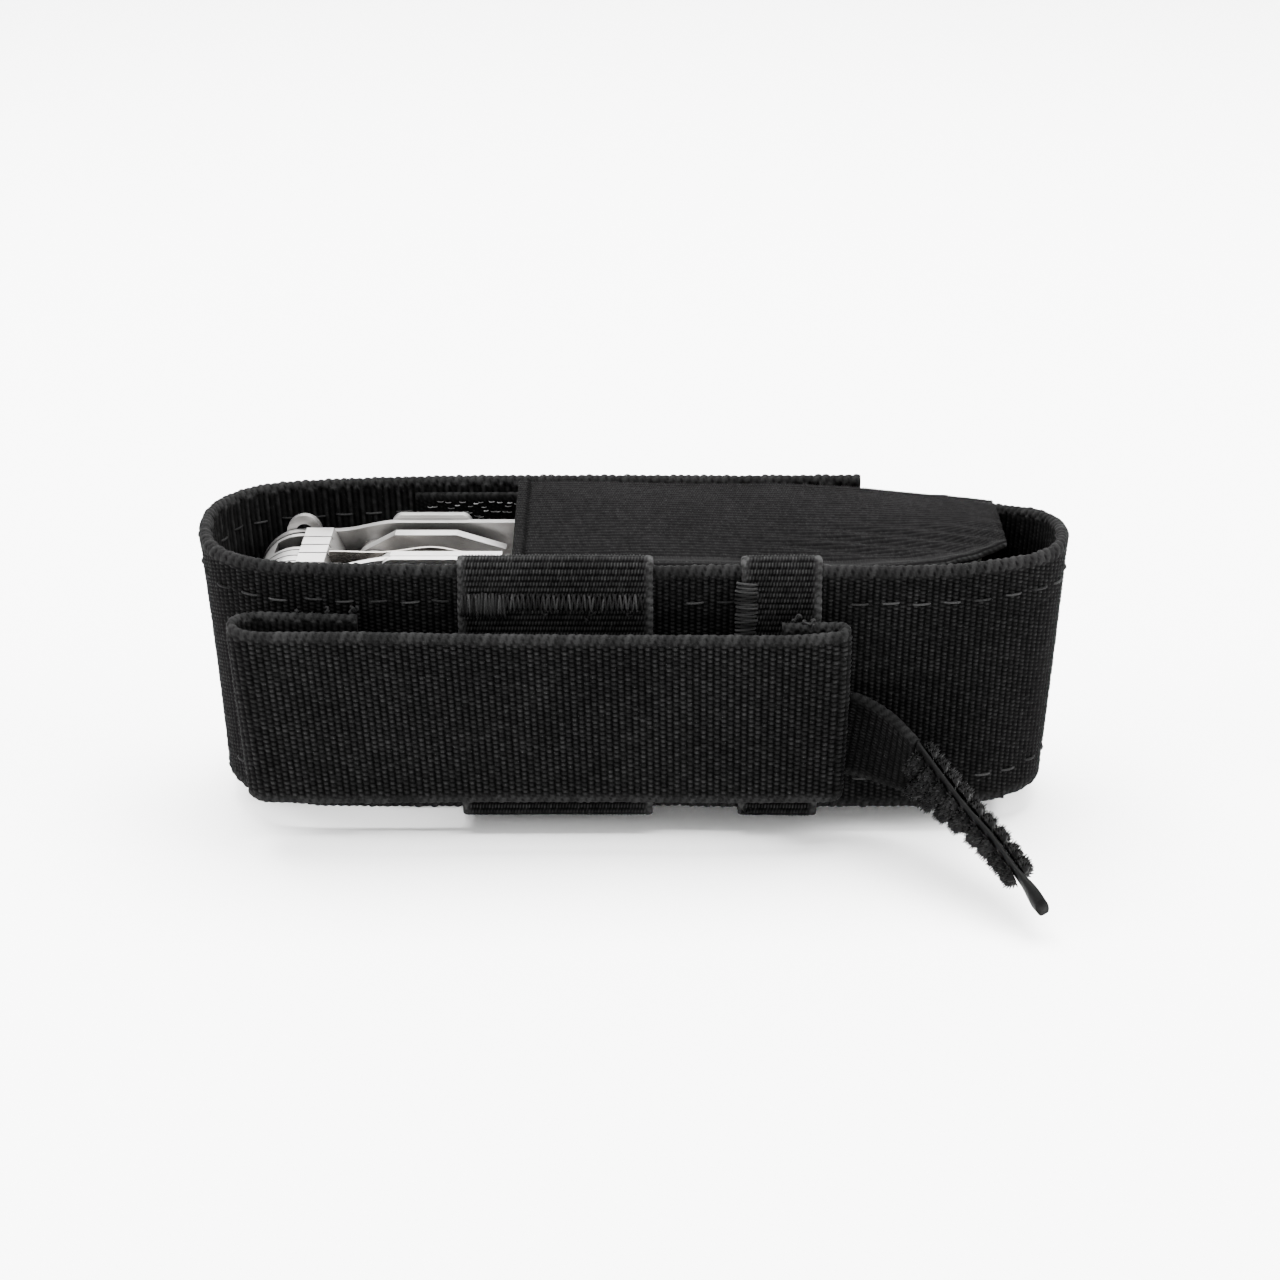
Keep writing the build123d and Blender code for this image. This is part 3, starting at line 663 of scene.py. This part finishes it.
wide_wrap = elastic_wrap("wide_wrap_elastic", "wide_wrap", wide_low, wide_high, 21)
narrow_wrap = elastic_wrap("narrow_wrap_elastic", "narrow_wrap", narrow_low, narrow_high, 22)


def height_on_wrap(strip, z):
    """Distance along a wrap to a height on its near face."""
    front = np.where(strip.top[:, 1] < near_y - 0.6)[0]
    return strip.top_lengths[front[np.argmin(np.abs(strip.top[front, 2] - z))]]


tack_high = web_top - near_rim_dip - 3.2
tack_low = tack_high - 3.4
wrap_threads = Bundle()
tack = (height_on_wrap(wide_wrap, tack_low), height_on_wrap(wide_wrap, tack_high))
zigzag(wrap_threads, wide_wrap, tack, (0.01, 0.24), 13, 31, across_u=True, radius=0.18)
thin_tack = (tack[0] + 0.9, tack[1] - 0.2)
zigzag(wrap_threads, wide_wrap, thin_tack, (0.24, 0.95), 27, 32, across_u=True, radius=0.17)
bar = (height_on_wrap(narrow_wrap, tack_low - 5.0), height_on_wrap(narrow_wrap, tack_high + 1.6))
zigzag(wrap_threads, narrow_wrap, bar, (-0.08, 0.19), 17, 33, radius=0.18)
for count, share in enumerate((0.1, 0.3, 0.45, 0.52, 0.66, 0.7, 0.88)):
    tack_point = wide_wrap.on_face(tack[0] + 0.4 + 0.5 * (count % 2), share, 0.3)[0]
    loose_thread(wrap_threads, tack_point, 0.9, 80 + count, 0.12, 5, 0.5)
knot_point = narrow_wrap.on_face(height_on_wrap(narrow_wrap, 2.0), 0.1, 0.3)[0]
for count in range(4):
    loose_thread(wrap_threads, knot_point, 0.7, 90 + count, 0.14, 5, 0.4)
finish_piece(wrap_threads.build("wrap_threads", thread_yarn), "sheath")


# ---------------------------------------------------------------- gussets


def gusset_near_edge(x):
    """How far the upper gusset reaches towards the near panel, at places along it."""
    gap = (2.6, 2.7, 3.1, 3.9, 5.6, 8.6, 11.6, 13.4)
    return np.interp(x, (-20, 20, 31, 38, 44, 49, 52, 54), [near_y + reach for reach in gap])


def gusset_far_height(x):
    """The height of the gusset's far edge, which is folded over the pocket panel's rim."""
    return np.interp(x, (-20, 20, 32, 45, 54), (0.0, -0.25, -0.9, -2.0, -2.7)) + web_top - 0.15


def upper_gusset():
    """The elastic sheet over the tool: high at its far edge, dipping to the near rim."""
    left, right = gusset_low[0] - 0.3, gusset_high[0] + 0.2
    step_x, step_y = gusset_pitch[1] / 2, gusset_pitch[0] / 3
    depth = pocket_y + 0.6 - (near_y + 2.4)
    x = np.arange(left, right, step_x)
    v = np.arange(0, depth, step_y)
    thickness = 0.9
    near, far = gusset_near_edge(x), np.full(len(x), pocket_y + 0.6)
    far = far - np.clip((x - 47) / 8, 0, 1) ** 2 * 1.5
    far_z = gusset_far_height(x)
    near_z = np.interp(x, (-20, 0, 31, 45, 54), (-1.9, -1.9, -2.6, -2.5, -2.2)) + web_top - 0.9
    left_fade = np.exp(-(x - left) / 1.4)

    def sheet(side, share):
        """Points across the sheet at a share of its depth, on its upper or under side."""
        y = near + (far - near) * share
        crown = 1.0 * math.sin(math.pi * min(1.0, share * 1.08)) - 0.35 * math.sin(2 * math.pi * share)
        z = near_z + (far_z - near_z) * share**0.85 + 0.55 * crown
        to_the_right = np.clip((x - 14) / 14, 0, 1)
        near_edge_only = np.clip(1 - abs(share - 0.25) * 3.2, 0, 1)
        wrinkles = 0.22 * np.sin((x * 0.32 + y * 1.9)) * to_the_right * near_edge_only
        z = z + wrinkles + 0.12 * np.sin(x / 6.0 + 3 * share)
        roll = left_fade * 0.45
        return y, z + side * (thickness / 2) - roll * (1 if side > 0 else -0.2) * (left_fade > 0.9)

    # The tones follow the weave's relief: painted shade in the grooves.
    vertices, tones = [], []
    for value in v:
        share = value / depth
        y, z = sheet(1, share)
        height, tone = woven(value + 0 * x, x, gusset_pitch, 0.12)
        near_band = math.exp(-((value - 1.5) / 0.7) ** 2)
        height = height * (1 - 0.75 * near_band)
        tone = tone * (1 - near_band) + 0.85 * near_band
        hem = np.exp(-((x - left - 1.7) / 0.35) ** 2)
        z = z + 0.22 * (x < left + 1.7) - 0.18 * hem
        # Painted shade darkens the colour along the hem's crease.
        tone = tone * (1 - 0.7 * hem)
        vertices.append(np.column_stack([x, y, z + 0.34 * height]))
        tones.append(tone)
    for angle in np.linspace(0.3, math.pi - 0.3, 5):
        y, z = sheet(0, 1.0)
        vertices.append(np.column_stack([x, y + 0.55 * math.sin(angle), z + thickness / 2 * math.cos(angle)]))
        tones.append(twisted(x, angle + 0 * x, 0.8)[1])
    for share in np.linspace(1, 0, 24):
        y, z = sheet(-1, share)
        vertices.append(np.column_stack([x, y, z]))
        tones.append(woven(share * depth + 0 * x, x, gusset_pitch)[1])
    for angle in np.linspace(0.3, math.pi - 0.3, 5):
        y, z = sheet(0, 0.0)
        vertices.append(np.column_stack([x, y - 0.5 * math.sin(angle), z - thickness / 2 * math.cos(angle)]))
        tones.append(twisted(x, angle + 0 * x, 0.8)[1])
    faces, grid = grid_faces(len(vertices), len(x), wrap_rows=True)
    faces.append(grid[:, 0].tolist())
    faces.append(grid[::-1, -1].tolist())
    faces = [face[::-1] for face in faces]
    return mesh_object("upper_gusset", np.vstack(vertices), faces, gusset_yarn, np.concatenate(tones))


top_gusset = upper_gusset()
finish_piece(top_gusset, "sheath", ("gusset_top",))


def lower_gusset_line(y):
    left, right = under_low[0], under_high[0]
    z = (under_low[2] + under_high[2]) / 2
    return [(left + (right - left) * t, y, z - 0.1 + 0.1 * math.sin(9 * t)) for t in np.linspace(0, 1, 9)]


lower_gusset = Strip(
    lower_gusset_line(under_low[1] + 0.2), lower_gusset_line(under_high[1] - 0.2), 0.8,
    (0.7, 1.7), 0.16, 0.12,
)
finish_piece(
    lower_gusset.build("lower_gusset", gusset_yarn, columns=2), "sheath", ("gusset_bottom",)
)


# ---------------------------------------------------------------- hook and loop tapes


def tape_line(low, high, z, y_side):
    y = (low[1] + high[1]) / 2
    return [(low[0] + (high[0] - low[0]) * t, y, z) for t in np.linspace(0, 1, 7)][::y_side]


def tape(name, node, low, high, body, y_side):
    """A sewn tape: outer face to the far side for 1, to the near side for -1."""
    top, bottom = (tape_line(low, high, z, y_side) for z in (high[2], low[2]))
    strip = Strip(top, bottom, 0.8, tape_pitch, 0.12, 0.08)
    obj = strip.build(name, tape_yarn, columns=2, fine=tape_pitch[1] / 2)
    finish_piece(obj, body, (node,))
    return strip


hook_tape = tape("hook_tape", "flap_hook_tape", hook_tape_low, hook_tape_high, "flap", -1)
loop_tape = tape("loop_tape", "loop_tape", loop_tape_low, loop_tape_high, "sheath", 1)

hooks = Bundle()
jitter = np.random.default_rng(41)
hook_spacing = 0.9
for column, u in enumerate(np.arange(1.2, hook_tape.length - 1.0, hook_spacing)):
    if u < hook_tape.length - 20 and column % 2:
        continue
    for share in np.arange(0.04, 0.98, 0.045):
        place = u + jitter.uniform(-0.38, 0.38)
        foot = hook_tape.on_face(place, share + jitter.uniform(-0.018, 0.018), -0.05)[0]
        lean = jitter.uniform(-0.25, 0.25)
        route = [
            foot, foot + (0.05 + lean, -0.55, 0.1), foot + (0.3 + lean, -0.95, 0.2),
            foot + (0.62 + lean, -0.85, 0.2), foot + (0.72 + lean, -0.5, 0.15),
        ]
        hooks.tube(route, 0.07, 4, jitter.uniform(0.4, 1.0))
finish_piece(hooks.build("tape_hooks", painted_glint_hook_nylon), "flap")

loops = Bundle()
for u in np.arange(0.8, loop_tape.length - 0.5, 1.1):
    for share in np.arange(0.04, 0.98, 0.06):
        place = u + jitter.uniform(-0.4, 0.4)
        foot = loop_tape.on_face(place, share + jitter.uniform(-0.02, 0.02), -0.05)[0]
        turn = jitter.uniform(0, 2 * math.pi)
        aside = np.array([math.cos(turn), 0, math.sin(turn)]) * 0.45
        loops.tube([foot, foot + aside + (0, 0.3, 0), foot + 2 * aside + (0, 0.05, 0)], 0.06, 3, 0.5)
finish_piece(loops.build("tape_loops", tape_yarn), "sheath")


# ---------------------------------------------------------------- narrow strap

strap_width = root_high[2] - root_low[2]
strap_y = (root_low[1] + root_high[1]) / 2
root_middle = (root_low[2] + root_high[2]) / 2


def strap_sections():
    """Sections of the strap and its moulded end, in order from the root to the tip.

    Each holds its centre, the way it runs, the way its width leans, and its width.
    """
    return [
        ((root_low[0], strap_y, root_middle), (1, 0, 0), (0, 0, 1), strap_width),
        ((24.0, strap_y, root_middle), (1, 0, 0), (0, 0, 1), strap_width),
        ((30.2, strap_y, root_middle), (1, -0.12, 0), (0, 0, 1), strap_width),
        ((35.0, -21.9, 13.2), (0.85, -0.5, -0.2), (-0.1, -0.15, 1), strap_width),
        ((39.3, -25.4, 11.6), (0.62, -0.75, -0.4), (-0.2, -0.3, 1), strap_width),
        ((43.2, -30.0, 9.4), (0.52, -0.78, -0.4), (-0.33, -0.36, 0.9), strap_width),
        ((46.8, -34.8, 7.4), (0.45, -0.8, -0.38), (-0.42, -0.4, 0.84), 10.6),
        ((49.6, -39.4, 5.8), (0.4, -0.84, -0.34), (-0.42, -0.38, 0.84), 8.0),
        ((51.6, -44.0, 4.4), (0.36, -0.88, -0.3), (-0.42, -0.36, 0.84), 5.4),
        ((53.2, -48.0, 3.3), (0.33, -0.9, -0.25), (-0.3, -0.3, 0.9), 4.4),
        ((54.2, -50.4, 2.6), (0.3, -0.93, -0.2), (-0.3, -0.3, 0.9), 2.6),
    ]


def strap_edges(sections):
    top, bottom = [], []
    for centre, run, lean, width in sections:
        run, lean = unit(np.array(run, float)), np.array(lean, float)
        rise = unit(lean - run * (lean @ run))
        top.append(np.array(centre) + rise * width / 2)
        bottom.append(np.array(centre) - rise * width / 2)
    return top, bottom


sections = strap_sections()
strap_bend = (Vector((27.5, strap_y, 0)) * MM, Vector((33.0, strap_y, 0)) * MM)
strap_top, strap_bottom = strap_edges(sections[:6])
strap = Strip(strap_bottom[:5], strap_top[:5], 1.2, strap_pitch, 0.2, 0.12)
strap_piece = strap.build("strap_tape", strap_yarn, columns=4)
finish_piece(strap_piece, nodes=("strap_root", "strap_tail"), bends=("sheath", "strap", strap_bend))

hook_top, hook_bottom = strap_edges(sections[4:])
hook_end = Strip(hook_bottom, hook_top, 1.1, (1.2, 1.2), 0.05, 0.05)


def hook_end_core():
    """The moulded end's thin core, which narrows to a rounded tip."""
    u = np.linspace(0, hook_end.length, 90)
    low, rise, normal = hook_end.lines(u)
    thick = np.interp(u, (0, hook_end.length - 6, hook_end.length - 2), (0.45, 0.5, 0.9))
    ring = []
    for angle in np.linspace(0, 2 * math.pi, 20, endpoint=False):
        share = 0.5 + 0.5 * math.cos(angle)
        half = thick * math.copysign(abs(math.sin(angle)) ** 0.5, math.sin(angle))
        ring.append(low + rise * share + normal * half[:, None])
    faces, grid = grid_faces(len(ring), len(u), wrap_rows=True)
    faces += [grid[::-1, 0].tolist(), grid[:, -1].tolist()]
    return np.vstack(ring), faces


hook_parts = Bundle()
hook_parts.add(*hook_end_core(), 0.5)
tuft_rows = 9
tuft_pitch = 2.95
tuft_reach = (1.15, 1.2, 1.35)          # half sizes: up the width, along the strap, outwards
dome_rings, dome_sides = 5, 10
teeth_per_tuft = 9
tooth_length = 0.95
for row in range(tuft_rows):
    u = 1.3 + row * tuft_pitch
    low, rise, normal = (part[0] for part in hook_end.lines(np.array([u])))
    local_width = np.linalg.norm(rise)
    up, across = unit(rise), unit(np.cross(unit(rise), normal))
    across_count = 4 if local_width > 11 else 3 if local_width > 8 else 2 if local_width > 4.5 else 1
    for side in (1, -1):
        for index in range(across_count):
            share = (index + 0.5) / across_count
            stagger = (index % 2 - 0.5) * 1.0
            centre = low + rise * (0.06 + 0.88 * share) + normal * side * 0.7 + across * stagger
            out = normal * side
            dome = []
            for ring in range(dome_rings):
                polar = ring / (dome_rings - 1) * math.pi / 2
                for step in range(dome_sides):
                    turn = step * 2 * math.pi / dome_sides
                    dome.append(
                        centre + up * (tuft_reach[0] * math.cos(polar) * math.cos(turn))
                        + across * (tuft_reach[1] * math.cos(polar) * math.sin(turn))
                        + out * (tuft_reach[2] * math.sin(polar))
                    )
            grid = np.arange(dome_rings * dome_sides).reshape(dome_rings, dome_sides)
            around = np.roll(grid, -1, axis=1)
            quads = np.stack([grid[:-1], around[:-1], around[1:], grid[1:]], axis=-1)
            quads = quads.reshape(-1, 4).tolist()
            if side < 0:
                quads = [face[::-1] for face in quads]
            hook_parts.add(dome, quads, jitter.uniform(0.45, 0.8))
            for tooth in range(teeth_per_tuft):
                angle = (tooth / (teeth_per_tuft - 1) - 0.5) * math.pi * 0.95
                direction = unit(out * math.cos(angle) + up * math.sin(angle))
                for offset in (-0.55, 0.15, 0.75):
                    base = centre + direction * 0.85 + across * offset
                    tip = base + direction * (tooth_length + jitter.uniform(-0.15, 0.15))
                    tone = jitter.uniform(0.4, 1.0)
                    hook_parts.tube([base, (base + tip) / 2, tip], (0.17, 0.14, 0.05), 4, tone)
finish_piece(
    hook_parts.build("toothed_hook_end", hook_nylon), "strap", ("moulded_hook_end",)
)


# ---------------------------------------------------------------- steel parts

steel_finishes = (
    (("_plate", "release_bar", "lanyard_eye"), plate_steel),
    (("pin", "rivet", "washers"), pin_steel),
    (("leaf_spring",), spring_steel),
    (("jaw_", "spacer"), jaw_steel),
)


def finish_for(node):
    for words, material in steel_finishes:
        if any(word in node for word in words):
            return material
    return blade_steel


for node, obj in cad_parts.items():
    if obj.hide_render:
        continue
    obj.data.materials.clear()
    obj.data.materials.append(finish_for(node))
    bevel = obj.modifiers.new("edge_wear", "BEVEL")
    bevel.width = 0.18 * MM
    bevel.segments = 2
    bevel.limit_method = "ANGLE"
    bevel.angle_limit = math.radians(40)


# ---------------------------------------------------------------- floor, light and camera

floor_material, _, floor_shader = new_material("pale_floor")
floor_shader.inputs["Base Color"].default_value = (0.95, 0.95, 0.948, 1)
floor_shader.inputs["Roughness"].default_value = 0.55
floor_shader.inputs["Specular IOR Level"].default_value = 0.3

sweep = [(-1.2, 0.0), (0.75, 0.0), (0.95, 0.03), (1.08, 0.12), (1.15, 0.3), (1.18, 1.4)]
sweep_points = smooth_curve([(0, y, z) for y, z in sweep], 12)
floor_mesh = bpy.data.meshes.new("floor")
floor_vertices = [(x, y, z - 0.00002) for x in (-2.0, 2.0) for _, y, z in sweep_points]
floor_count = len(sweep_points)
floor_mesh.from_pydata(
    floor_vertices, [],
    [(i, i + floor_count, i + floor_count + 1, i + 1) for i in range(floor_count - 1)],
)
floor_mesh.materials.append(floor_material)
floor_mesh.polygons.foreach_set("use_smooth", [True] * len(floor_mesh.polygons))
floor = bpy.data.objects.new("floor", floor_mesh)
bpy.context.scene.collection.objects.link(floor)


def area_light(name, place, target, size, power):
    light = bpy.data.lights.new(name, "AREA")
    light.shape = "RECTANGLE"
    light.size, light.size_y = size
    light.energy = power
    obj = bpy.data.objects.new(name, light)
    obj.location = place
    obj.rotation_euler = (Vector(target) - Vector(place)).to_track_quat("-Z", "Y").to_euler()
    bpy.context.scene.collection.objects.link(obj)


area_light("overhead", (0.0, 0.25, 0.9), (0, 0, 0), (1.1, 0.8), 70.0)
area_light("left", (-0.8, -0.25, 0.5), (0, 0, 0.02), (0.6, 0.5), 14.0)
area_light("right", (0.8, -0.25, 0.5), (0, 0, 0.02), (0.6, 0.5), 14.0)

world = bpy.data.worlds.new("studio")
world.use_nodes = True
background = world.node_tree.nodes["Background"]
background.inputs[0].default_value = (1, 1, 1, 1)
background.inputs[1].default_value = 2.7
bpy.context.scene.world = world

elevation = math.radians(22.1)
camera_distance = 0.398
look_at = Vector((0.0008, 0, 0.0205))
camera_data = bpy.data.cameras.new("camera")
camera_data.lens = 75.9375
camera_data.sensor_width = 36
camera_data.clip_start = 0.01
camera = bpy.data.objects.new("camera", camera_data)
backwards = Vector((0, -math.cos(elevation), math.sin(elevation)))
camera.location = look_at + backwards * camera_distance
camera.rotation_euler = (math.pi / 2 - elevation, 0, 0)
bpy.context.scene.collection.objects.link(camera)
bpy.context.scene.camera = camera
